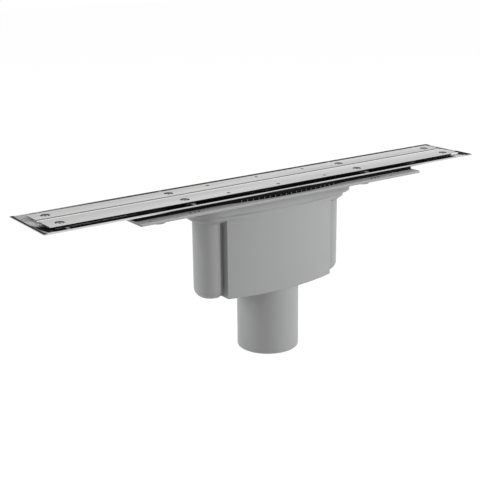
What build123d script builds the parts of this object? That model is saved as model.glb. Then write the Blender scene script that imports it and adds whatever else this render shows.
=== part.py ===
# Linear shower channel drain: steel channel with two cover strips, sealing mat, moulded flange and removable siphon.
# Millimetres, +Z up, +X along the channel, +Y to the back. The origin is the centre of the outlet's lower end.
import math
import os

from build123d import *

# Driving dimensions: heights, stacked up from the outlet's lower end
OUTLET_LENGTH = 81.4
BODY_HEIGHT = 90.6  # from the tank's bottom to the cone under the collar
CONE_HEIGHT = 5.0
COLLAR_HEIGHT = 4.0
SHOULDER_HEIGHT = 3.5
FUNNEL_HEIGHT = 11.8
PLATE_THICK = 2.6
MAT_THICK = 1.0  # under the valley
SHEET = 1.0
PAN_FALL = 3.5  # from the rim's step down to the valley
RIM_DROP = 0.6  # the pressed step inside the rim
COVER_RISE = 1.8  # the cover stands this much over the rim

# Driving dimensions: channel
CHANNEL_LENGTH = 612.0
CHANNEL_WIDTH = 85.0
RIM_WIDTH = 3.0
RIM_THICK = 1.2
RIM_EDGE_ROUND = 0.3
PAN_END_RUN = 8.0  # length of the short end facets
LIP_DEPTH = 9.9

# Driving dimensions: cover
STRIP_THICK = 1.5
STRIP_BEVEL = 0.3
STRIP_END_INSET = 13.5
SLOT_WIDTH = 9.5
SEAM_Y = 6.0
SEAM = 0.5
REBATE_WIDTH = 6.0
REBATE_DEPTH = 0.7
BRACKET_END_INSET = 15.75
BRACKET_INNER_X = 125.9
BRACKET_LENGTH = 12.0
BRACKET_THICK = 1.8
BRACKET_FOOT = 9.0
TAB_LENGTH = 3.0
TAB_END_GAP = 0.6
SCREW_INSET = 12.7
SCREW_HEAD_R = 5.3
SCREW_SHANK_R = 2.0
SCREW_RECESS = 0.8
SCREW_SOCKET = 2.5
RIVET_PITCH = 70.4
RIVET_INSET = 8.3
RIVET_R = 1.4
RIVET_RECESS = 0.6
RIVET_RECESS_R = 2.2
RIVET_FOOT_R = 2.2
RIVET_FOOT = 0.5
STIFFENER_END = 9.6  # past the outer rivets
STIFFENER_WIDTH = 6.0
STIFFENER_THICK = 1.2

# Driving dimensions: throat, funnel, flange plate and mat
THROAT_X = 83.0  # centres of the rounded ends of every oval
THROAT_END_R = 21.2
THROAT_MID_Y = 32.2
SKIRT_WALL = 2.5
LEDGE = 3.0
LEDGE_THICK = 2.0
FUNNEL_END_GAP = 6.2
MAT_RING_MARGIN = 3.5
MAT_RING_DROP = 1.2
MAT_SIDE_INSET = 4.4
MAT_END_INSET = 2.9
PLATE_SIDE_MARGIN = 5.5
PLATE_END_MARGIN = 50.25
PLATE_CORNER = 1.0
BOSS_GAP = 33.0  # from the funnel's end to a boss's middle
BOSS_WALL = 2.5
BOSS_DEPTH = 15.3
INSERT_R = 6.0
INSERT_LENGTH = 12.0
FOOT_THREAD_R = 3.4
PLATE_HOLE_R = 1.75
CORNER_HOLE_INSET = (14.05, 6.2)
INNER_HOLE_INSET = (46.75, 4.0)
POST_PITCH = 7.45
POST_SIZE = 0.8
POST_HEIGHT = 2.6
PIP_COUNT = 3
PIP_PITCH = 5.5
PIP_GAP = 4.0
PIP_INSET = 6.0

# Driving dimensions: trap tank
WALL = 3.0
SPOUT_WALL = 2.3
SPOUT_RISE = 9.5
LOBE_INSET = 7.0
LOBE_DROP = 1.8
LOBE_BOTTOM_ROUND = 12.0
BOX_END_INSET = 6.5
BOX_BULGE = 11.2
BOX_BOTTOM_CHAMFER = 0.5
GROOVE_WIDTH = 5.2
NECK_INSET = 4.0
CONE_LIFT = 2.5  # the inside of the cone stands this much higher, for an even wall
OUTLET_R = 37.5
OUTLET_END_ROUND = 1.5
SEAT_DEPTH = 15.0

# Driving dimensions: siphon pieces
WEIR_DROP = 27.0  # below the cone
STANDPIPE_WALL = 2.5
STANDPIPE_END_INSET = 12.0
STANDPIPE_FOOT_INSET = 6.0
SPIGOT_DEPTH = 11.0
SPIGOT_WALL = 3.6
RING_GROOVE_DROP = 5.5
RING_GROOVE_DEPTH = 1.6
HOOD_SLOT = 48.0  # distance between the centres of its rounded ends
HOOD_WALL = 2.0
HOOD_CHAMFER = 2.5
HOOD_HEADROOM = 11.0
HOOD_FOOT_GAP = 10.0
HOOD_RIB_X = 20.0
WATER_GAP = 4.0
HANDLE_R = 14.0
STRAINER_WALL = 1.2
STRAINER_FLOOR = 1.5
STRAINER_DROP = 5.9
STRAINER_SLOT = 3.0
STRAINER_PITCH = 8.0
SEAL_DROP = 5.0  # below the spout's top
SEAL_INSET = 1.2
SEAL_HEIGHT = 2.8

# Clearances
SLIDE_GAP = 0.5  # a piece that lifts out by hand
FIT_GAP = 0.3  # moulded collars that plug together
SEAT_GAP = 0.4
TIP_GAP = 0.3
LIFT_GAP = 1.2
SCREW_GAP = 0.1
RUBBER_GAP = 0.05

# Heights that follow
TANK_BOTTOM_Z = OUTLET_LENGTH
FLOOR_Z = TANK_BOTTOM_Z + WALL
CONE_LOW_Z = TANK_BOTTOM_Z + BODY_HEIGHT
CONE_HIGH_Z = CONE_LOW_Z + CONE_HEIGHT
SHOULDER_LOW_Z = CONE_HIGH_Z + COLLAR_HEIGHT
FUNNEL_BOTTOM_Z = SHOULDER_LOW_Z + SHOULDER_HEIGHT
PLATE_BOTTOM_Z = FUNNEL_BOTTOM_Z + FUNNEL_HEIGHT
PLATE_TOP_Z = PLATE_BOTTOM_Z + PLATE_THICK
VALLEY_Z = PLATE_TOP_Z + MAT_THICK + SHEET
STEP_Z = VALLEY_Z + PAN_FALL
RIM_Z = STEP_Z + RIM_DROP
STRIP_TOP_Z = RIM_Z + COVER_RISE
STRIP_BOTTOM_Z = STRIP_TOP_Z - STRIP_THICK
LIP_BOTTOM_Z = VALLEY_Z - LIP_DEPTH
SPOUT_TOP_Z = FUNNEL_BOTTOM_Z + SPOUT_RISE
SEAL_Z = SPOUT_TOP_Z - SEAL_DROP
SKIRT_BOTTOM_Z = CONE_HIGH_Z + CONE_LIFT + SLIDE_GAP
LEDGE_Z = SKIRT_BOTTOM_Z + LEDGE_THICK
BOSS_BOTTOM_Z = PLATE_BOTTOM_Z - BOSS_DEPTH
MAT_RING_TOP_Z = RIM_Z - MAT_RING_DROP
STRAINER_TOP_Z = VALLEY_Z - STRAINER_DROP
SEAT_BOTTOM_Z = FLOOR_Z - SEAT_DEPTH
SPIGOT_BOTTOM_Z = FLOOR_Z - SPIGOT_DEPTH
RING_GROOVE_Z = FLOOR_Z - RING_GROOVE_DROP
WEIR_Z = CONE_LOW_Z - WEIR_DROP
HOOD_RIM_Z = FLOOR_Z + HOOD_FOOT_GAP

# Widths and lengths that follow
RIM_INNER_X = CHANNEL_LENGTH / 2 - RIM_WIDTH
RIM_INNER_Y = CHANNEL_WIDTH / 2 - RIM_WIDTH
STRIP_END_X = CHANNEL_LENGTH / 2 - STRIP_END_INSET
STRIP_SIDE_Y = RIM_INNER_Y - SLOT_WIDTH
BRACKET_OUTER_X = STRIP_END_X - BRACKET_END_INSET
BRACKET_X = (-BRACKET_OUTER_X, -BRACKET_INNER_X, BRACKET_INNER_X, BRACKET_OUTER_X)
SCREW_Y = max(STRIP_SIDE_Y - SCREW_INSET, SEAM_Y + SEAM + SCREW_HEAD_R + 1)
RIVET_X = (-RIVET_PITCH, 0.0, RIVET_PITCH)
RIVET_Y = STRIP_SIDE_Y - RIVET_INSET
SKIRT_END_R = THROAT_END_R + SKIRT_WALL
SKIRT_MID_Y = THROAT_MID_Y + SKIRT_WALL
SPOUT_END_R = SKIRT_END_R + FIT_GAP
SPOUT_MID_Y = SKIRT_MID_Y + FIT_GAP
COLLAR_END_R = SPOUT_END_R + WALL
COLLAR_MID_Y = SPOUT_MID_Y + WALL
FUNNEL_END_R = SPOUT_END_R + SPOUT_WALL + FUNNEL_END_GAP + SKIRT_WALL
FUNNEL_MID_Y = SPOUT_MID_Y + SPOUT_WALL + 0.2 + SKIRT_WALL
MAT_RING_END_R = FUNNEL_END_R + MAT_RING_MARGIN
MAT_RING_MID_Y = CHANNEL_WIDTH / 2 + MAT_RING_MARGIN
BOSS_X = THROAT_X + FUNNEL_END_R + BOSS_GAP
BOSS_R = INSERT_R + BOSS_WALL
PLATE_LENGTH = 2 * (BOSS_X + PLATE_END_MARGIN)
PLATE_WIDTH = 2 * (MAT_RING_MID_Y + PLATE_SIDE_MARGIN)
MAT_LENGTH = PLATE_LENGTH - 2 * MAT_END_INSET
MAT_WIDTH = CHANNEL_WIDTH - 2 * MAT_SIDE_INSET
LOBE_R = COLLAR_END_R - LOBE_INSET
NECK_HALF_Y = LOBE_R - NECK_INSET
BOX_HALF_X = THROAT_X - BOX_END_INSET
BOX_MID_Y = max(COLLAR_MID_Y, OUTLET_R + BOX_BOTTOM_CHAMFER)
LOBE_CUT_X = BOX_HALF_X + GROOVE_WIDTH
HOOD_WIDTH = 2 * (THROAT_MID_Y - LEDGE - LIFT_GAP)
STANDPIPE_SLOT = HOOD_SLOT - STANDPIPE_END_INSET
STANDPIPE_WIDTH = HOOD_WIDTH - 2 * (HOOD_WALL + WATER_GAP)
STANDPIPE_FOOT_SLOT = STANDPIPE_SLOT - STANDPIPE_FOOT_INSET
STANDPIPE_FOOT_WIDTH = HOOD_WIDTH + 1
SEAT_R = min(HOOD_WIDTH / 2 + 1, OUTLET_R - WALL)
SPIGOT_R = SEAT_R - SEAT_GAP
STANDPIPE_BORE_R = SPIGOT_R - SPIGOT_WALL


def pan_z(y):
    """Height of the pan's upper face at a distance from the middle line."""
    return VALLEY_Z + PAN_FALL * abs(y) / RIM_INNER_Y


def oval_y(x, end_r, mid_y):
    """Half width of an oval's long arc at a distance x from its middle."""
    arc_r = (THROAT_X**2 + mid_y**2 - end_r**2) / (2 * (mid_y - end_r))
    return mid_y - arc_r + math.sqrt(arc_r**2 - x**2)


def oval(end_r, mid_y, z):
    """Flat oval: rounded ends about the throat centres, long sides bulged to mid_y."""
    with BuildSketch(Plane.XY.offset(z)) as flat:
        with BuildLine():
            if mid_y - end_r < 1e-6:
                tip_x, tip_y = THROAT_X, end_r
                Line((-tip_x, -tip_y), (tip_x, -tip_y))
            else:
                arc_r = (THROAT_X**2 + mid_y**2 - end_r**2) / (2 * (mid_y - end_r))
                tip_x = THROAT_X + end_r * THROAT_X / (arc_r - end_r)
                tip_y = end_r * (arc_r - mid_y) / (arc_r - end_r)
                ThreePointArc((-tip_x, -tip_y), (0, -mid_y), (tip_x, -tip_y))
            ThreePointArc((tip_x, -tip_y), (THROAT_X + end_r, 0), (tip_x, tip_y))
            if mid_y - end_r < 1e-6:
                Line((tip_x, tip_y), (-tip_x, tip_y))
            else:
                ThreePointArc((tip_x, tip_y), (0, mid_y), (-tip_x, tip_y))
            ThreePointArc((-tip_x, tip_y), (-THROAT_X - end_r, 0), (-tip_x, -tip_y))
        make_face()
    return flat.sketch


def oval_block(end_r, mid_y, low_z, high_z):
    """Upright block with an oval outline."""
    return extrude(oval(end_r, mid_y, low_z), high_z - low_z)


def oval_cone(low, low_z, high, high_z):
    """Block whose outline changes from one oval to another."""
    return loft(Sketch() + [oval(*low, low_z), oval(*high, high_z)], ruled=True)


def block(x0, x1, y0, y1, z0, z1):
    """Plain block between two corners."""
    centre = ((x0 + x1) / 2, (y0 + y1) / 2, (z0 + z1) / 2)
    return Pos(*centre) * Box(x1 - x0, y1 - y0, z1 - z0)


def rod(x, y, low_z, high_z, radius):
    """Upright cylinder."""
    return Pos(x, y, (low_z + high_z) / 2) * Cylinder(radius, high_z - low_z)


def slot_block(slot, width, low_z, high_z):
    """Upright block with a straight-sided slot outline."""
    flat = Plane.XY.offset(low_z) * SlotCenterToCenter(slot, width)
    return extrude(flat, high_z - low_z)


def along_x(points, half_length):
    """Block with an outline in the YZ plane, drawn through the points."""
    flat = Plane.YZ * make_face(Polyline(*points, close=True))
    return extrude(flat, half_length, both=True)


def along_y(points, half_length):
    """Block with an outline in the XZ plane, drawn through the points."""
    flat = Plane.XZ * make_face(Polyline(*points, close=True))
    return extrude(flat, half_length, both=True)


def mirrored(points):
    """Closed outline from its right half, listed from the middle line round to the middle line."""
    return list(points) + [(-a, b) for a, b in reversed(points) if abs(a) > 1e-9]


def corners(x, y):
    """The four places that mirror one place about both middle lines."""
    return [(sx * x, sy * y) for sx in (-1, 1) for sy in (-1, 1)]


# Channel tray: a hem all round an envelope-shaped pan, with an oval lip into the throat
def pan_void():
    """The space inside the rim and above the pan."""
    top = RIM_Z + 1
    across = mirrored([(0, VALLEY_Z), (RIM_INNER_Y, STEP_Z), (RIM_INNER_Y, top), (0, top)])
    valley_x = RIM_INNER_X - PAN_END_RUN
    low, high = [(valley_x, VALLEY_Z), (RIM_INNER_X, STEP_Z)], (RIM_INNER_X, top)
    lengthwise = mirrored([(0, VALLEY_Z), *low, high, (0, top)])
    return along_x(across, CHANNEL_LENGTH) & along_y(lengthwise, CHANNEL_WIDTH)


def underside(start, slope, reach):
    """Outline under the sheet: level to start, up the slope, and level again under the rim."""
    low_z = VALLEY_Z - SHEET
    hem_z = RIM_Z - RIM_THICK
    run = start + (hem_z - low_z) / slope
    points = [(0, low_z)]
    if start > 0:
        points.append((start, low_z))
    if run < reach:
        points += [(run, hem_z), (reach, hem_z)]
    else:
        points.append((reach, low_z + slope * (reach - start)))
    return mirrored(points + [(reach, RIM_Z), (0, RIM_Z)])


def tray_body():
    """The tray filled up to the rim's top: its underside is the outside of the sheet."""
    end_slope = PAN_FALL / PAN_END_RUN
    start_x = RIM_INNER_X - PAN_END_RUN + SHEET * math.tan(math.atan(end_slope) / 2)
    across = underside(0, PAN_FALL / RIM_INNER_Y, CHANNEL_WIDTH / 2)
    lengthwise = underside(start_x, end_slope, CHANNEL_LENGTH / 2)
    return along_x(across, CHANNEL_LENGTH / 2) & along_y(lengthwise, CHANNEL_WIDTH / 2)


def on_outside(edge):
    """Whether an edge lies on the channel's outer outline."""
    at = edge.center()
    return abs(abs(at.X) - CHANNEL_LENGTH / 2) < 0.01 or abs(abs(at.Y) - CHANNEL_WIDTH / 2) < 0.01


def channel_tray():
    lip = (THROAT_END_R - SLIDE_GAP, THROAT_MID_Y - SLIDE_GAP)
    hole = (lip[0] - SHEET, lip[1] - SHEET)
    tray = tray_body() + oval_block(*lip, LIP_BOTTOM_Z, RIM_Z)
    tray -= pan_void()
    tray -= oval_block(*hole, LIP_BOTTOM_Z - 1, RIM_Z + 1)
    top_edges = [e for e in tray.edges() if e.center().Z > RIM_Z - 0.01 and on_outside(e)]
    return fillet(top_edges, RIM_EDGE_ROUND)


# Cover: two strips on four cross brackets, held by countersunk screws
def screw_cone(extra):
    """The countersunk cone of one cover screw, standing on the strip's underside."""
    low_r = SCREW_SHANK_R + 0.2 - extra
    return Pos(0, 0, STRIP_BOTTOM_Z + STRIP_THICK / 2) * Cone(low_r, SCREW_HEAD_R - extra, STRIP_THICK)


def cover_strip(side, profile):
    """One strip with the given outline across, drilled for its screws and rivets."""
    strip = along_x(profile, STRIP_END_X)
    for x in BRACKET_X:
        strip -= Pos(x, side * SCREW_Y, 0) * screw_cone(0)
    low_z = STRIP_TOP_Z - RIVET_RECESS
    dimple = Cone(RIVET_R + SCREW_GAP, RIVET_RECESS_R, RIVET_RECESS)
    for x in RIVET_X:
        strip -= rod(x, side * RIVET_Y, STRIP_BOTTOM_Z - 1, low_z + 0.1, RIVET_R + SCREW_GAP)
        strip -= Pos(x, side * RIVET_Y, low_z + RIVET_RECESS / 2) * dimple
    return strip


def front_cover():
    """The wider strip, with a shallow rebate along its back edge."""
    rebate_y = SEAM_Y - REBATE_WIDTH
    rebate_z = STRIP_TOP_Z - REBATE_DEPTH
    profile = [
        (-STRIP_SIDE_Y, STRIP_BOTTOM_Z),
        (SEAM_Y, STRIP_BOTTOM_Z),
        (SEAM_Y, rebate_z),
        (rebate_y, rebate_z),
        (rebate_y, STRIP_TOP_Z),
        (-STRIP_SIDE_Y + STRIP_BEVEL, STRIP_TOP_Z),
        (-STRIP_SIDE_Y, STRIP_TOP_Z - STRIP_BEVEL),
    ]
    return cover_strip(-1, profile)


def rear_cover():
    """The narrower strip behind the seam."""
    inner_y = SEAM_Y + SEAM
    profile = [
        (inner_y, STRIP_BOTTOM_Z),
        (STRIP_SIDE_Y, STRIP_BOTTOM_Z),
        (STRIP_SIDE_Y, STRIP_TOP_Z - STRIP_BEVEL),
        (STRIP_SIDE_Y - STRIP_BEVEL, STRIP_TOP_Z),
        (inner_y, STRIP_TOP_Z),
    ]
    return cover_strip(1, profile)


def cover_bracket(x):
    """A cross bar that stands on the pan's slopes, with a narrow tab in each slot."""
    bar_z = STRIP_BOTTOM_Z - BRACKET_THICK
    side_y = STRIP_SIDE_Y - FIT_GAP
    foot_y = side_y - BRACKET_FOOT
    half = [
        (0, bar_z),
        (foot_y - 2, bar_z),
        (foot_y, pan_z(foot_y)),
        (side_y, pan_z(side_y)),
        (side_y, STRIP_BOTTOM_Z),
        (0, STRIP_BOTTOM_Z),
    ]
    bracket = along_x(mirrored(half), BRACKET_LENGTH / 2)
    tab_y = RIM_INNER_Y - TAB_END_GAP
    for side in (-1, 1):
        tab = [(foot_y, pan_z(foot_y)), (tab_y, pan_z(tab_y)), (tab_y, STRIP_BOTTOM_Z), (foot_y, STRIP_BOTTOM_Z)]
        bracket += along_x([(side * y, z) for y, z in tab], TAB_LENGTH / 2)
    for y in (-SCREW_Y, SCREW_Y):
        bracket -= rod(0, y, VALLEY_Z, STRIP_BOTTOM_Z + 1, SCREW_SHANK_R + SCREW_GAP)
    return Pos(x, 0, 0) * bracket


def cover_screws():
    head_top = STRIP_TOP_Z - SCREW_RECESS
    tip_z = pan_z(SCREW_Y + SCREW_SHANK_R) + TIP_GAP
    screw = screw_cone(0.15) + rod(0, 0, tip_z, STRIP_BOTTOM_Z + 0.2, SCREW_SHANK_R)
    screw -= rod(0, 0, head_top, STRIP_TOP_Z + 1, SCREW_HEAD_R + 1)
    socket = Plane.XY.offset(head_top - 0.5) * RegularPolygon(SCREW_SOCKET / math.sqrt(3), 6)
    screw -= extrude(socket, 2)
    return [Pos(x, y, 0) * screw for x in BRACKET_X for y in (-SCREW_Y, SCREW_Y)]


def stiffener_rivets():
    foot_top = STRIP_BOTTOM_Z - STIFFENER_THICK
    rivet = rod(0, 0, foot_top - RIVET_FOOT / 2, STRIP_TOP_Z - RIVET_RECESS, RIVET_R)
    rivet += rod(0, 0, foot_top - RIVET_FOOT, foot_top, RIVET_FOOT_R)
    return [Pos(x, y, 0) * rivet for x in RIVET_X for y in (-RIVET_Y, RIVET_Y)]


def cover_stiffener(side):
    end_x = RIVET_PITCH + STIFFENER_END
    half = STIFFENER_WIDTH / 2
    mid_y = side * RIVET_Y
    bar = block(-end_x, end_x, mid_y - half, mid_y + half, STRIP_BOTTOM_Z - STIFFENER_THICK, STRIP_BOTTOM_Z)
    for x in RIVET_X:
        bar -= rod(x, side * RIVET_Y, PLATE_TOP_Z, STRIP_TOP_Z, RIVET_R + SCREW_GAP)
    return bar


# Sealing mat: wedge-shaped under the pan, thick around the throat
def sealing_mat():
    half_x, half_y = MAT_LENGTH / 2, MAT_WIDTH / 2
    mat = block(-half_x, half_x, -half_y, half_y, PLATE_TOP_Z, MAT_RING_TOP_Z)
    mat += oval_block(MAT_RING_END_R, MAT_RING_MID_Y, PLATE_TOP_Z, MAT_RING_TOP_Z)
    mat -= tray_body()
    mat -= oval_block(THROAT_END_R, THROAT_MID_Y, PLATE_TOP_Z - 1, RIM_Z)
    return mat


# Flange: plate with an oval funnel ring, an inner skirt with a ledge, foot bosses and small guides
def flange_plate():
    outline = Plane.XY.offset(PLATE_BOTTOM_Z) * RectangleRounded(PLATE_LENGTH, PLATE_WIDTH, PLATE_CORNER)
    flange = extrude(outline, PLATE_THICK)
    flange += oval_block(FUNNEL_END_R, FUNNEL_MID_Y, FUNNEL_BOTTOM_Z, PLATE_BOTTOM_Z)
    inside = (FUNNEL_END_R - SKIRT_WALL, FUNNEL_MID_Y - SKIRT_WALL)
    flange -= oval_block(*inside, FUNNEL_BOTTOM_Z - 1, PLATE_BOTTOM_Z)
    flange += oval_block(SKIRT_END_R, SKIRT_MID_Y, SKIRT_BOTTOM_Z, PLATE_BOTTOM_Z)
    flange -= oval_block(THROAT_END_R, THROAT_MID_Y, LEDGE_Z, PLATE_TOP_Z + 1)
    flange -= oval_block(THROAT_END_R - LEDGE, THROAT_MID_Y - LEDGE, SKIRT_BOTTOM_Z - 1, LEDGE_Z + 1)
    groove_half = SEAL_HEIGHT / 2 + 0.1
    groove = oval_block(SKIRT_END_R + 1, SKIRT_MID_Y + 1, SEAL_Z - groove_half, SEAL_Z + groove_half)
    groove -= oval_block(SKIRT_END_R - SEAL_INSET, SKIRT_MID_Y - SEAL_INSET, SEAL_Z - 2, SEAL_Z + 2)
    flange -= groove
    for x in (-BOSS_X, BOSS_X):
        flange += rod(x, 0, BOSS_BOTTOM_Z, PLATE_BOTTOM_Z, BOSS_R)
        flange -= rod(x, 0, BOSS_BOTTOM_Z - 1, BOSS_BOTTOM_Z + INSERT_LENGTH, INSERT_R)
        flange -= rod(x, 0, BOSS_BOTTOM_Z, PLATE_BOTTOM_Z - 1, FOOT_THREAD_R + 0.2)
    for inset_x, inset_y in (CORNER_HOLE_INSET, INNER_HOLE_INSET):
        for x, y in corners(PLATE_LENGTH / 2 - inset_x, PLATE_WIDTH / 2 - inset_y):
            flange -= rod(x, y, PLATE_BOTTOM_Z - 1, PLATE_TOP_Z + 1, PLATE_HOLE_R)
    return flange + guides()


def guides():
    """Small posts round the mat's ring, and short ribs beside its ends."""
    half = POST_SIZE / 2
    post_gap = 0.2 + half
    low_z = PLATE_BOTTOM_Z + 1
    count = int(THROAT_X / POST_PITCH) - 2
    pieces = []
    for step in range(-count, count + 1):
        x = step * POST_PITCH
        y = oval_y(x, MAT_RING_END_R + post_gap, MAT_RING_MID_Y + post_gap)
        for side in (-1, 1):
            at_y = side * y
            pieces.append(block(x - half, x + half, at_y - half, at_y + half, low_z, PLATE_TOP_Z + POST_HEIGHT))
    for step in range(PIP_COUNT):
        pip_x = THROAT_X + MAT_RING_END_R + PIP_GAP + step * PIP_PITCH
        for x, y in corners(pip_x, PLATE_WIDTH / 2 - PIP_INSET):
            pieces.append(block(x - 0.5, x + 0.5, y - 1.5, y + 1.5, low_z, PLATE_TOP_Z + 0.8))
    return pieces


def foot_inserts():
    top = BOSS_BOTTOM_Z + INSERT_LENGTH
    inserts = []
    for x in (-BOSS_X, BOSS_X):
        sleeve = rod(x, 0, BOSS_BOTTOM_Z, top, INSERT_R)
        inserts.append(sleeve - rod(x, 0, BOSS_BOTTOM_Z - 1, top + 1, FOOT_THREAD_R))
    return inserts


# Ring seal between the flange's skirt and the tank's spout
def tank_seal():
    inset = SEAL_INSET - RUBBER_GAP
    low, high = SEAL_Z - SEAL_HEIGHT / 2, SEAL_Z + SEAL_HEIGHT / 2
    ring = oval_block(SPOUT_END_R - RUBBER_GAP, SPOUT_MID_Y - RUBBER_GAP, low, high)
    return ring - oval_block(SKIRT_END_R - inset, SKIRT_MID_Y - inset, low - 1, high + 1)


# Trap tank: two rounded ends, a bulged middle between upright grooves, a collar and the round outlet
def bulged_block(half_x, corner_y, mid_y, low_z, high_z):
    """Upright block with flat ends and arched front and back."""
    with BuildSketch(Plane.XY.offset(low_z)) as flat:
        with BuildLine():
            ThreePointArc((-half_x, -corner_y), (0, -mid_y), (half_x, -corner_y))
            Line((half_x, -corner_y), (half_x, corner_y))
            ThreePointArc((half_x, corner_y), (0, mid_y), (-half_x, corner_y))
            Line((-half_x, corner_y), (-half_x, -corner_y))
        make_face()
    return extrude(flat.sketch, high_z - low_z)


def bottom_edges(shape, low_z):
    return [e for e in shape.edges() if abs(e.center().Z - low_z) < 1e-3 and e.bounding_box().size.Z < 1e-3]


def tank_block(grow, low_z, lobe_top_z, box_top_z):
    """The tank's outside, or with a negative grow the space inside its walls."""
    lobe_low_z = low_z - LOBE_DROP
    lobes = oval_block(LOBE_R + grow, LOBE_R + grow, lobe_low_z, lobe_top_z)
    soften = chamfer if grow < 0 else fillet
    lobes = soften(bottom_edges(lobes, lobe_low_z), LOBE_BOTTOM_ROUND + grow)
    cut_x = LOBE_CUT_X - grow
    lobes -= block(-cut_x, cut_x, -LOBE_R - 1, LOBE_R + 1, lobe_low_z - 1, lobe_top_z + 1)
    neck_y = NECK_HALF_Y + grow
    neck = block(-cut_x - 1, cut_x + 1, -neck_y, neck_y, low_z + 2, lobe_top_z)
    arch_r = (BOX_HALF_X**2 + BOX_BULGE**2) / (2 * BOX_BULGE)
    half_x, mid_y = BOX_HALF_X + grow, BOX_MID_Y + grow
    corner_y = mid_y - (arch_r + grow) + math.sqrt((arch_r + grow) ** 2 - half_x**2)
    box = bulged_block(half_x, corner_y, mid_y, low_z, box_top_z)
    if grow >= 0:
        box = chamfer(bottom_edges(box, low_z), BOX_BOTTOM_CHAMFER)
    return lobes + neck + box


def trap_tank():
    collar = (COLLAR_END_R, COLLAR_MID_Y)
    spout = (SPOUT_END_R, SPOUT_MID_Y)
    stadium = (LOBE_R, LOBE_R)
    tank = tank_block(0, TANK_BOTTOM_Z, CONE_LOW_Z, FUNNEL_BOTTOM_Z)
    tank += oval_cone(stadium, CONE_LOW_Z, collar, CONE_HIGH_Z)
    tank += oval_block(*collar, CONE_HIGH_Z, FUNNEL_BOTTOM_Z)
    tank += oval_cone(collar, SHOULDER_LOW_Z, (FUNNEL_END_R, FUNNEL_MID_Y), FUNNEL_BOTTOM_Z)
    tank += oval_block(spout[0] + SPOUT_WALL, spout[1] + SPOUT_WALL, CONE_HIGH_Z, SPOUT_TOP_Z)
    tank += rod(0, 0, 0, TANK_BOTTOM_Z + 1, OUTLET_R)
    inside_stadium = (LOBE_R - WALL, LOBE_R - WALL)
    low_z, high_z = CONE_LOW_Z + CONE_LIFT, CONE_HIGH_Z + CONE_LIFT
    tank -= tank_block(-WALL, FLOOR_Z, low_z, high_z)
    tank -= oval_cone(inside_stadium, low_z, spout, high_z)
    tank -= oval_block(*spout, high_z, SPOUT_TOP_Z + 1)
    tank -= rod(0, 0, -1, SEAT_BOTTOM_Z, OUTLET_R - WALL)
    tank -= rod(0, 0, SEAT_BOTTOM_Z - 1, FLOOR_Z + 1, SEAT_R)
    lip = [e for e in tank.edges().filter_by(GeomType.CIRCLE) if abs(e.center().Z) < 1e-3]
    return fillet([e for e in lip if e.radius > OUTLET_R - 0.01], OUTLET_END_ROUND)


# Siphon: standpipe, its ring seal and the hood over it
def standpipe():
    bore_width = STANDPIPE_WIDTH - 2 * STANDPIPE_WALL
    foot_top = FLOOR_Z + STANDPIPE_WALL
    low_z = SPIGOT_BOTTOM_Z - 1
    pipe = slot_block(STANDPIPE_FOOT_SLOT, STANDPIPE_FOOT_WIDTH, FLOOR_Z, foot_top)
    pipe += slot_block(STANDPIPE_SLOT, STANDPIPE_WIDTH, FLOOR_Z, WEIR_Z)
    pipe += rod(0, 0, SPIGOT_BOTTOM_Z, FLOOR_Z + 1, SPIGOT_R)
    pipe -= slot_block(STANDPIPE_SLOT, bore_width, foot_top, WEIR_Z + 1)
    bore = rod(0, 0, low_z, foot_top + 1, STANDPIPE_BORE_R)
    pipe -= bore & slot_block(STANDPIPE_SLOT, 2 * STANDPIPE_BORE_R, low_z, foot_top)
    groove = rod(0, 0, RING_GROOVE_Z - 1.3, RING_GROOVE_Z + 1.3, SPIGOT_R + 1)
    groove -= rod(0, 0, RING_GROOVE_Z - 2, RING_GROOVE_Z + 2, SPIGOT_R - RING_GROOVE_DEPTH)
    return pipe - groove


def standpipe_seal():
    inner = SPIGOT_R - RING_GROOVE_DEPTH
    section_r = (SEAT_R - inner) / 2 - RUBBER_GAP
    section = Plane.XZ * Pos((SEAT_R + inner) / 2, RING_GROOVE_Z) * RegularPolygon(section_r, 8)
    return revolve(section, Axis.Z)


def trap_hood():
    crown_z = WEIR_Z + HOOD_HEADROOM
    top_z = crown_z + HOOD_WALL
    shell = slot_block(HOOD_SLOT, HOOD_WIDTH, HOOD_RIM_Z, top_z)
    shell = chamfer([e for e in shell.edges() if e.center().Z > top_z - 1e-3], HOOD_CHAMFER)
    inner_width = HOOD_WIDTH - 2 * HOOD_WALL
    shell -= slot_block(HOOD_SLOT, inner_width, HOOD_RIM_Z - 1, crown_z)
    half_y = inner_width / 2 + HOOD_WALL / 2
    tongue_y = STANDPIPE_WIDTH / 2 - STANDPIPE_WALL - SLIDE_GAP - 0.2
    for x in (-HOOD_RIB_X, HOOD_RIB_X):
        shell += block(x - 1, x + 1, -half_y, half_y, WEIR_Z, crown_z + 0.5)
        shell += block(x - 1, x + 1, -tongue_y, tongue_y, WEIR_Z - 3, WEIR_Z + 1)
    ring = Pos(0, 0, top_z) * Rot(90, 0, 0) * (Cylinder(HANDLE_R, 5) - Cylinder(HANDLE_R - 4, 6))
    ring -= block(-HANDLE_R - 1, HANDLE_R + 1, -4, 4, top_z - HANDLE_R - 1, top_z - 0.5)
    return shell + ring


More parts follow.
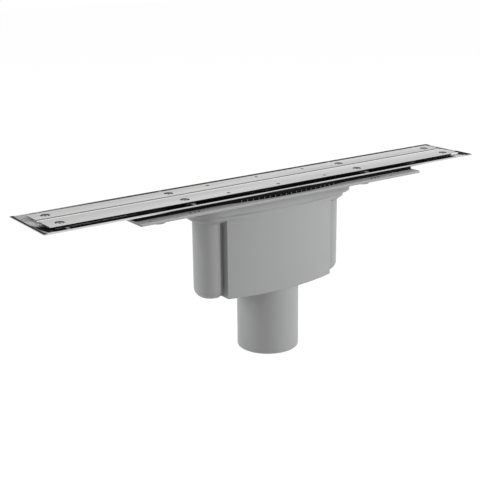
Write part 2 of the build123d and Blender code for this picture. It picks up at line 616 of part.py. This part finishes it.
def hair_strainer():
    outer_r = THROAT_END_R - SHEET - 2 * SLIDE_GAP
    outer_y = THROAT_MID_Y - SHEET - 2 * SLIDE_GAP
    basket = oval_block(outer_r, outer_y, LEDGE_Z, STRAINER_TOP_Z)
    floor_z = LEDGE_Z + STRAINER_FLOOR
    basket -= oval_block(outer_r - STRAINER_WALL, outer_y - STRAINER_WALL, floor_z, STRAINER_TOP_Z + 1)
    count = int(THROAT_X / STRAINER_PITCH)
    for step in range(-count, count + 1):
        x = step * STRAINER_PITCH
        reach = oval_y(x, outer_r, outer_y) - 2 * LEDGE
        half = STRAINER_SLOT / 2
        basket -= block(x - half, x + half, -reach, reach, LEDGE_Z - 1, floor_z + 1)
    grip_y = outer_y - STRAINER_WALL / 2
    grip_x = STRAINER_PITCH / 2
    return basket + block(grip_x - 1, grip_x + 1, -grip_y, grip_y, STRAINER_TOP_Z - 5, STRAINER_TOP_Z)


PIECES = {
    "channel_tray": channel_tray(),
    "front_cover": front_cover(),
    "rear_cover": rear_cover(),
    "cover_screws": cover_screws(),
    "stiffener_rivets": stiffener_rivets(),
    "front_stiffener": cover_stiffener(-1),
    "rear_stiffener": cover_stiffener(1),
    "sealing_mat": sealing_mat(),
    "flange_plate": flange_plate(),
    "foot_inserts": foot_inserts(),
    "tank_seal": tank_seal(),
    "trap_tank": trap_tank(),
    "standpipe": standpipe(),
    "standpipe_seal": standpipe_seal(),
    "trap_hood": trap_hood(),
    "hair_strainer": hair_strainer(),
}
for number, bracket_x in enumerate(BRACKET_X, 1):
    PIECES[f"cover_bracket_{number}"] = cover_bracket(bracket_x)

os.makedirs("parts", exist_ok=True)
for name, piece in PIECES.items():
    solids = piece if isinstance(piece, list) else [piece]
    solids = [solid for shape in solids for solid in shape.solids()]
    shape = solids[0] if len(solids) == 1 else Compound(children=solids)
    shape.label = name
    export_step(shape, f"parts/{name}.step")
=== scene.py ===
"""Looks of the linear shower channel drain: finishes, floor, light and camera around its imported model."""

import math

import bpy
from mathutils import Matrix, Vector


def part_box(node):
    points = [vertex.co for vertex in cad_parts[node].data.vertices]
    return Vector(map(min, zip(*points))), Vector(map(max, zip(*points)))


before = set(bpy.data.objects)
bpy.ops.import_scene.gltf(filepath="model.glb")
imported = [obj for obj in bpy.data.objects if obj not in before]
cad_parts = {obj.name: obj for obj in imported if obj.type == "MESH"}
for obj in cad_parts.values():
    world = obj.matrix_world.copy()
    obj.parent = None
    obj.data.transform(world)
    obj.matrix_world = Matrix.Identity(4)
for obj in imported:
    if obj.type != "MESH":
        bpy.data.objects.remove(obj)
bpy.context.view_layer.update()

MM = 0.001

# Places on the pieces that the finishes follow.
tray_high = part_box("channel_tray")[1]
strip_low, strip_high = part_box("front_cover")
RIM_WIDTH = 3 * MM
RIM_TOP = tray_high.z
PAN_END = tray_high.x - RIM_WIDTH
PAN_SIDE = tray_high.y - RIM_WIDTH
STRIP_END = strip_high.x
STRIP_FRONT = strip_low.y
SEAM = strip_high.y
SLOT_RIGHT = 279 * MM
MAT_LEFT = -170 * MM
MAT_RIGHT = 210 * MM
BACK_FADE_LEFT = -290 * MM
BACK_FADE_RIGHT = -150 * MM
CORNER_BACK = -14 * MM
FLANGE_TOP = 198.9 * MM

# Levels of grey, as a share of white.
PAINTED_STEP_HIGHLIGHT = 1.0
PAINTED_RIGHT_END = 0.85
PAINTED_TAB_LIGHT = 0.55
PAINTED_FLANGE_LIGHT = 0.52
PAINTED_EDGE_LIGHT = 0.42
FLANGE_POSTS = 0.15
PAINTED_BACK_SHADE = 0.11
PAINTED_SCREW_SHADE = 0.09
PAINTED_SIDE_SHADE = 0.08
PAINTED_RIM_SHADE = 0.06
END_SHADE = 0.02
PAINTED_FRONT_SHADE = 0.012
PAINTED_SLOT_SHADE = 0.01

# The painted reflection on the pan's left end from front to back: how far along that way, and its level of
# grey.
LEFT_END_WIDTH = 80 * MM
LEFT_END_REFLECTION_STOPS = [
    (0.0, 0.45),
    (0.40, 0.34),
    (0.45, 0.14),
    (0.50, 0.18),
    (0.55, 0.95),
    (0.70, 0.95),
    (0.77, 0.60),
    (1.0, 0.60),
]

STEEL_WARMTH = 0.004
PLASTIC_WARMTH = -0.004
DARK_BRASS = (0.58, 0.42, 0.18, 1.0)
PALE_BRASS = (0.72, 0.55, 0.28, 1.0)

# What polished metal mirrors, from level to straight up: white walls, a dark gap and a bright ceiling.
WALL_STOPS = [(0.0, 1.0), (0.31, 0.96), (0.43, 0.52), (0.58, 0.10), (0.76, 0.12), (0.90, 0.75)]
WALL_LIGHT = 0.42

FLOOR_SIZE = 12.0
FLOOR_DROP = 0.5 * MM
FLOOR_GREY = 0.82
FLOOR_GLOW = 1.1
FLOOR_GLOW_SHARE = 0.85

# Each lamp's place, the length of its side and its power.
LAMP_TARGET = Vector((0.0, 0.0, 0.12))
SOFTBOXES = {
    "right_softbox": ((1.7, -1.7, 0.9), 1.4, 46.0),
    "back_left_softbox": ((-1.8, 1.4, 0.8), 1.2, 30.0),
}

CAMERA_PLACE = (-0.69336, -0.92895, 0.48415)
CAMERA_YAW = math.radians(35.11)
CAMERA_PITCH = math.radians(16.85)
CAMERA_ROLL = math.radians(0.72)
CAMERA_LENS = 75.35
CAMERA_SENSOR = 36.0


class Value:
    """A shader socket that can stand in a Python sum or product."""

    def __init__(self, tree, socket):
        self.tree = tree
        self.socket = socket

    def maths(self, operation, first, second):
        return self.tree.node("ShaderNodeMath", {"operation": operation}, {0: first, 1: second})

    def __add__(self, other):
        return self.maths("ADD", self, other)

    def __radd__(self, other):
        return self.maths("ADD", other, self)

    def __sub__(self, other):
        return self.maths("SUBTRACT", self, other)

    def __rsub__(self, other):
        return self.maths("SUBTRACT", other, self)

    def __mul__(self, other):
        return self.maths("MULTIPLY", self, other)

    def __rmul__(self, other):
        return self.maths("MULTIPLY", other, self)

    def other(self, name):
        """Another output of the node that this value comes from."""
        return Value(self.tree, self.socket.node.outputs[name])


class Tree:
    """A node tree that nodes are added to by type, settings and inputs."""

    def __init__(self, owner):
        owner.use_nodes = True
        self.nodes = owner.node_tree.nodes
        self.links = owner.node_tree.links

    def feed(self, socket, value):
        """Links a value to a socket, or writes a constant on it."""
        if isinstance(value, Value):
            self.links.new(value.socket, socket)
        else:
            socket.default_value = value

    def node(self, kind, settings=None, inputs=None, output=0):
        """Adds a node: its settings first, then its sockets' values or links."""
        node = self.nodes.new(kind)
        for name, value in (settings or {}).items():
            if name == "stops":
                ramp = node.color_ramp
                while len(ramp.elements) < len(value):
                    ramp.elements.new(0.5)
                for element, (position, color) in zip(ramp.elements, value):
                    element.position = position
                    element.color = color
            else:
                setattr(node, name, value)
        for name, value in (inputs or {}).items():
            self.feed(node.inputs[name], value)
        return Value(self, node.outputs[output])

    def larger(self, first, *others):
        """The largest of some values."""
        for other in others:
            first = self.node("ShaderNodeMath", {"operation": "MAXIMUM"}, {0: first, 1: other})
        return first

    def rise(self, value, start, end):
        """0 below start, 1 above end and a smooth rise between them."""
        settings = {"interpolation_type": "SMOOTHSTEP"}
        return self.node("ShaderNodeMapRange", settings, {0: value, 1: start, 2: end, 3: 0.0, 4: 1.0})

    def band(self, value, start, end, edge):
        """1 from start to end and 0 outside, with soft edges."""
        return self.rise(value, start - edge, start + edge) - self.rise(value, end - edge, end + edge)

    def ramp(self, amount, stops):
        """A colour from a row of stops, by an amount from 0 to 1."""
        return self.node("ShaderNodeValToRGB", {"stops": stops}, {0: amount})

    def parts(self, vector):
        """The three numbers of a vector."""
        first = self.node("ShaderNodeSeparateXYZ", {}, {0: vector})
        return first, first.other("Y"), first.other("Z")


class Finish(Tree):
    """One material, built up from nodes around a Principled shader."""

    def __init__(self, name, **constants):
        self.material = bpy.data.materials.new(name)
        super().__init__(self.material)
        self.shader = self.nodes["Principled BSDF"]
        for socket_name, value in constants.items():
            self.shader.inputs[socket_name.replace("_", " ")].default_value = value
        self.place = self.node("ShaderNodeTexCoord", output="Object")

    def noise(self, scale, detail, stretch=(1.0, 1.0, 1.0)):
        """Soft noise from 0 to 1 with so many grains in a metre."""
        stretched = self.node("ShaderNodeMapping", {}, {"Vector": self.place, "Scale": stretch})
        return self.node("ShaderNodeTexNoise", {}, {"Vector": stretched, "Scale": scale, "Detail": detail})

    def between(self, amount, low, high):
        """A colour between two, by an amount from 0 to 1."""
        return self.ramp(amount, [(0.0, low), (1.0, high)])

    def blend(self, amount, base, top):
        """One colour over another, by an amount from 0 to 1."""
        return self.node("ShaderNodeMix", {"data_type": "RGBA"}, {0: amount, 6: base, 7: top}, 2)

    def tilted(self, start=0.9, end=0.98):
        """1 on faces that lean or stand upright, 0 on faces that lie flat."""
        up = self.parts(self.place.other("Normal"))[2]
        return 1 - self.rise(up * up, start, end)

    def set(self, socket_name, value):
        self.feed(self.shader.inputs[socket_name], value)

    def bump(self, height, strength, distance):
        inputs = {"Height": height, "Strength": strength, "Distance": distance}
        self.set("Normal", self.node("ShaderNodeBump", {}, inputs))


def grey(level, warmth=0.0):
    """A neutral colour, a little warmer or cooler."""
    return (level * (1 + warmth), level, level * (1 - warmth), 1.0)


def greys(stops):
    """A row of stops with greys in place of their levels."""
    return [(position, grey(level)) for position, level in stops]


def brushed(finish, low, high, across):
    """Long fine streaks along the channel, as a brushed colour and the streaks themselves."""
    streaks = finish.noise(scale=60.0, detail=4.0, stretch=(0.35, across, across))
    cloud = finish.noise(scale=9.0, detail=2.0, stretch=(0.6, 3.0, 3.0))
    mixed = streaks * 0.6 + cloud * 0.4
    return finish.between(mixed, grey(low, STEEL_WARMTH), grey(high, STEEL_WARMTH)), streaks


def strip_steel():
    """Brushed cover steel: painted shade on the cut edges, screw recesses and front face, a lighter painted
    grey on the ends and at the seam, a painted highlight on the step at the seam and painted light on the
    front face near the right end.
    """
    finish = Finish("strip_steel", Specular_IOR_Level=0.0, Anisotropic=0.3)
    color, streaks = brushed(finish, low=0.66, high=0.76, across=40.0)
    along, across = finish.parts(finish.place)[:2]
    # Painted highlight: the step at the seam is painted near white.
    step = finish.band(across, 0.6 * MM, SEAM, 0.6 * MM)
    ends = finish.rise(along * along, (STRIP_END - 1.3 * MM) ** 2, (STRIP_END - 0.3 * MM) ** 2)
    # Painted shade and light on the faces that lean or stand upright: near black and not metal on the screw
    # recesses and cut sides, black on the front face, a lighter painted grey, still metal, on the ends and
    # the faces at the seam.
    front = 1 - finish.rise(across, STRIP_FRONT + 0.1 * MM, STRIP_FRONT + 0.7 * MM)
    # Painted reflection: the front face near the right end is painted light and not metal.
    right_front = front * finish.rise(along, SLOT_RIGHT - 1 * MM, SLOT_RIGHT + 2 * MM)
    light_sides = finish.larger(ends, finish.band(across, -1 * MM, SEAM + 2 * MM, 1 * MM))
    sides = finish.between(light_sides, grey(PAINTED_SIDE_SHADE), grey(PAINTED_EDGE_LIGHT))
    sides = finish.blend(front, sides, grey(PAINTED_FRONT_SHADE))
    sides = finish.blend(right_front, sides, grey(PAINTED_RIGHT_END))
    color = finish.blend(step, color, grey(PAINTED_STEP_HIGHLIGHT))
    tilted = finish.tilted()
    finish.set("Base Color", finish.blend(tilted, color, sides))
    finish.set("Metallic", 1 - tilted * finish.larger(1 - light_sides, right_front))
    finish.set("Roughness", 0.24 + streaks * 0.12 - step * 0.16)
    finish.bump(streaks, strength=0.05, distance=0.2 * MM)
    return finish.material


def tray_steel():
    """Bright rolled steel: a mirror in the middle, painted shade in the slots, under the rim and along the
    back, painted reflections and painted dark lines at the ends.
    """
    finish = Finish("tray_steel", Specular_IOR_Level=0.0)
    color, streaks = brushed(finish, low=0.64, high=0.70, across=20.0)
    along, across, height = finish.parts(finish.place)

    # Painted shade: the steel in the front slot and under the rim is painted near black and not metal.
    front_slot = finish.band(across, -PAN_SIDE - 0.5 * MM, STRIP_FRONT + 2 * MM, 0.4 * MM)
    front_slot = front_slot * finish.band(along, -STRIP_END, SLOT_RIGHT, 1.5 * MM)
    under_rim = 1 - finish.rise(height, RIM_TOP - 0.9 * MM, RIM_TOP - 0.4 * MM)
    under_rim = under_rim * finish.band(along, MAT_LEFT, MAT_RIGHT, 20 * MM)
    black = finish.larger(front_slot, under_rim)

    inside = finish.band(across, -PAN_SIDE, PAN_SIDE, 0.2 * MM)
    # Painted reflections on the pan's ends: bands of grey on the left, light grey on the right, shown as
    # flat colour, not metal.
    left_end = finish.band(along, -PAN_END, -STRIP_END + 7.5 * MM, 0.2 * MM)
    left_end = left_end * inside * (1 - front_slot)
    right_end = finish.band(along, SLOT_RIGHT + 1 * MM, PAN_END, 1 * MM)
    right_end = right_end * finish.band(across, -PAN_SIDE, 0.0, 0.2 * MM)
    painted_ends = finish.larger(left_end, right_end)

    painted_left_end = finish.ramp(across * (1 / LEFT_END_WIDTH) + 0.5, greys(LEFT_END_REFLECTION_STOPS))
    shade = finish.rise(along, -STRIP_END - 6 * MM, -STRIP_END - 5 * MM)
    shade = shade * (1 - finish.rise(across, -6 * MM, -3 * MM))
    painted_left_end = finish.blend(shade, painted_left_end, grey(END_SHADE))

    # Painted shade, not metal: a dark band along the back, a dark line inside the rim at the left end and a
    # dark corner at the right end.
    back = finish.rise(across, PAN_SIDE - 6.5 * MM, PAN_SIDE - 4.5 * MM)
    back = back * finish.rise(along, BACK_FADE_LEFT, BACK_FADE_RIGHT)
    left_rim = 1 - finish.rise(along, -PAN_END + 1.2 * MM, -PAN_END + 1.8 * MM)
    left_rim = left_rim * (1 - finish.tilted(0.02, 0.3))
    corner = finish.rise(along, STRIP_END + 1 * MM, STRIP_END + 3.5 * MM)
    corner = corner * finish.band(across, -PAN_SIDE - 2.5 * MM, CORNER_BACK, 1 * MM)
    painted_dark = finish.larger(back, left_rim, corner)

    color = finish.blend(left_end, color, painted_left_end)
    color = finish.blend(right_end, color, grey(PAINTED_RIGHT_END))
    color = finish.blend(painted_dark, color, grey(PAINTED_RIM_SHADE))
    color = finish.blend(back, color, grey(PAINTED_BACK_SHADE))
    finish.set("Base Color", finish.blend(black, color, grey(PAINTED_SLOT_SHADE)))
    finish.set("Metallic", 1 - finish.larger(black, painted_dark, painted_ends))
    finish.set("Roughness", 0.03 + streaks * 0.03 + painted_ends * 0.5)
    return finish.material


def bracket_steel():
    """Dull rolled steel, with painted light on the tabs that reach out under the slots."""
    finish = Finish("bracket_steel", Metallic=1.0)
    color, streaks = brushed(finish, low=0.22, high=0.30, across=6.0)
    across = finish.parts(finish.place)[1]
    # Painted light: the tabs are painted paler where they show in the slots.
    tabs = finish.rise(across * across, STRIP_FRONT ** 2, (STRIP_FRONT - 1 * MM) ** 2)
    finish.set("Base Color", finish.blend(tabs, color, grey(PAINTED_TAB_LIGHT)))
    finish.set("Roughness", 0.35 + streaks * 0.15)
    return finish.material


def screw_steel():
    """Bright screw heads with painted shade on the cone round them and in the drive."""
    finish = Finish("screw_steel", Metallic=1.0)
    color, streaks = brushed(finish, low=0.62, high=0.72, across=6.0)
    finish.set("Base Color", finish.blend(finish.tilted(), color, grey(PAINTED_SCREW_SHADE)))
    finish.set("Roughness", 0.22 + streaks * 0.15)
    return finish.material


def moulded_plastic(name, low, high, rough):
    """Moulded plastic with a fine even grain: the flange's top face is painted paler, painted light against
    the shade of the tray above it, and the posts on it are dark.
    """
    finish = Finish(name, IOR=1.46)
    cloud = finish.noise(scale=14.0, detail=3.0)
    grain = finish.noise(scale=900.0, detail=2.0)
    mixed = cloud * 0.7 + grain * 0.3
    color = finish.between(mixed, grey(low, PLASTIC_WARMTH), grey(high, PLASTIC_WARMTH))
    height = finish.parts(finish.place)[2]
    # Painted light on the flange's top face.
    face = finish.rise(height, FLANGE_TOP - 0.7 * MM, FLANGE_TOP - 0.2 * MM)
    posts = finish.rise(height, FLANGE_TOP + 0.1 * MM, FLANGE_TOP + 0.3 * MM)
    color = finish.blend(face, color, grey(PAINTED_FLANGE_LIGHT))
    finish.set("Base Color", finish.blend(posts, color, grey(FLANGE_POSTS)))
    finish.set("Roughness", rough + grain * 0.1)
    finish.bump(grain, strength=0.08, distance=0.2 * MM)
    return finish.material


def rubber(name, low, high):
    """Dull black rubber, a little dusty."""
    finish = Finish(name, IOR=1.4, Specular_IOR_Level=0.15)
    dust = finish.noise(scale=160.0, detail=4.0)
    finish.set("Base Color", finish.between(dust, grey(low), grey(high)))
    finish.set("Roughness", 0.6 + dust * 0.2)
    finish.bump(dust, strength=0.2, distance=0.3 * MM)
    return finish.material


def turned_brass():
    """Brass with fine turning rings."""
    finish = Finish("insert_brass", Metallic=1.0)
    rings = finish.noise(scale=300.0, detail=2.0, stretch=(1.0, 1.0, 8.0))
    finish.set("Base Color", finish.between(rings, DARK_BRASS, PALE_BRASS))
    finish.set("Roughness", 0.25 + rings * 0.15)
    return finish.material


def dress():
    """Gives each piece its finish."""
    brackets = [f"cover_bracket_{number}" for number in range(1, 5)]
    flange_plastic = moulded_plastic("flange_plastic", low=0.34, high=0.37, rough=0.45)
    siphon_plastic = moulded_plastic("siphon_plastic", low=0.42, high=0.46, rough=0.38)
    wears = [
        (strip_steel(), ["front_cover", "rear_cover"]),
        (tray_steel(), ["channel_tray"]),
        (bracket_steel(), brackets + ["front_stiffener", "rear_stiffener"]),
        (screw_steel(), ["cover_screws", "stiffener_rivets"]),
        (rubber("mat_rubber", low=0.004, high=0.008), ["sealing_mat"]),
        (rubber("seal_rubber", low=0.012, high=0.02), ["tank_seal", "standpipe_seal"]),
        (flange_plastic, ["flange_plate", "trap_tank"]),
        (siphon_plastic, ["standpipe", "trap_hood", "hair_strainer"]),
        (turned_brass(), ["foot_inserts"]),
    ]
    for material, names in wears:
        for name in names:
            worn = bpy.data.objects[name].data.materials
            worn.clear()
            worn.append(material)


def lay_floor():
    """A wide white floor that keeps the object's shadow and shows as white."""
    bpy.ops.object.select_all(action="DESELECT")
    bpy.ops.mesh.primitive_plane_add(size=FLOOR_SIZE, location=(0.0, 0.0, -FLOOR_DROP))
    floor = bpy.context.active_object
    floor.name = "floor"
    finish = Finish("floor_white", Roughness=0.9)
    finish.set("Base Color", grey(FLOOR_GREY))
    ray = finish.node("ShaderNodeLightPath")
    seen = finish.larger(ray, ray.other("Is Glossy Ray"), ray.other("Is Transmission Ray"))
    glow = finish.node("ShaderNodeEmission", {}, {"Color": grey(1.0), "Strength": FLOOR_GLOW})
    lit = Value(finish, finish.shader.outputs[0])
    mixed = finish.node("ShaderNodeMixShader", {}, {0: seen * FLOOR_GLOW_SHARE, 1: lit, 2: glow})
    finish.links.new(mixed.socket, finish.nodes["Material Output"].inputs["Surface"])
    floor.data.materials.append(finish.material)


def hang_softbox(name, place, side, power):
    """A large square lamp, aimed at the middle of the object."""
    lamp = bpy.data.lights.new(name, "AREA")
    lamp.shape = "SQUARE"
    lamp.size = side
    lamp.energy = power
    holder = bpy.data.objects.new(name, lamp)
    aim = (LAMP_TARGET - Vector(place)).to_track_quat("-Z", "Y")
    holder.matrix_world = Matrix.Translation(place) @ aim.to_matrix().to_4x4()
    holder.visible_glossy = False
    bpy.context.scene.collection.objects.link(holder)


def light_studio():
    """Bands of light and dark for what mirrors them, even light from all sides, and two lamps."""
    world = bpy.data.worlds.new("studio")
    bpy.context.scene.world = world
    sky = Tree(world)
    ray = sky.node("ShaderNodeLightPath")
    height = sky.parts(sky.node("ShaderNodeTexCoord", output="Generated"))[2]
    walls = sky.ramp(height, greys(WALL_STOPS))
    open_side = sky.larger(ray, ray.other("Is Transmission Ray"))
    mirrored = ray.other("Is Glossy Ray") * (1 - open_side)
    plain = 1 - open_side - mirrored
    level = open_side + mirrored * walls + plain * WALL_LIGHT
    sky.feed(sky.nodes["Background"].inputs["Strength"], level)
    sky.feed(sky.nodes["Background"].inputs["Color"], grey(1.0))
    for name, (place, side, power) in SOFTBOXES.items():
        hang_softbox(name, place, side, power)


def place_camera():
    """The photograph's viewpoint: to the left of the front, a little above."""
    level = math.cos(CAMERA_PITCH)
    forward = Vector((math.sin(CAMERA_YAW) * level, math.cos(CAMERA_YAW) * level, -math.sin(CAMERA_PITCH)))
    right = Vector((math.cos(CAMERA_YAW), -math.sin(CAMERA_YAW), 0.0))
    down = forward.cross(right)
    turned_right = right * math.cos(CAMERA_ROLL) + down * math.sin(CAMERA_ROLL)
    turned_down = down * math.cos(CAMERA_ROLL) - right * math.sin(CAMERA_ROLL)
    axes = Matrix((turned_right, -turned_down, -forward)).transposed().to_4x4()
    camera = bpy.data.cameras.new("camera")
    camera.lens = CAMERA_LENS
    camera.sensor_width = CAMERA_SENSOR
    holder = bpy.data.objects.new("camera", camera)
    holder.matrix_world = Matrix.Translation(CAMERA_PLACE) @ axes
    bpy.context.scene.collection.objects.link(holder)
    bpy.context.scene.camera = holder


dress()
lay_floor()
light_studio()
place_camera()
bpy.context.scene.view_settings.view_transform = "Standard"
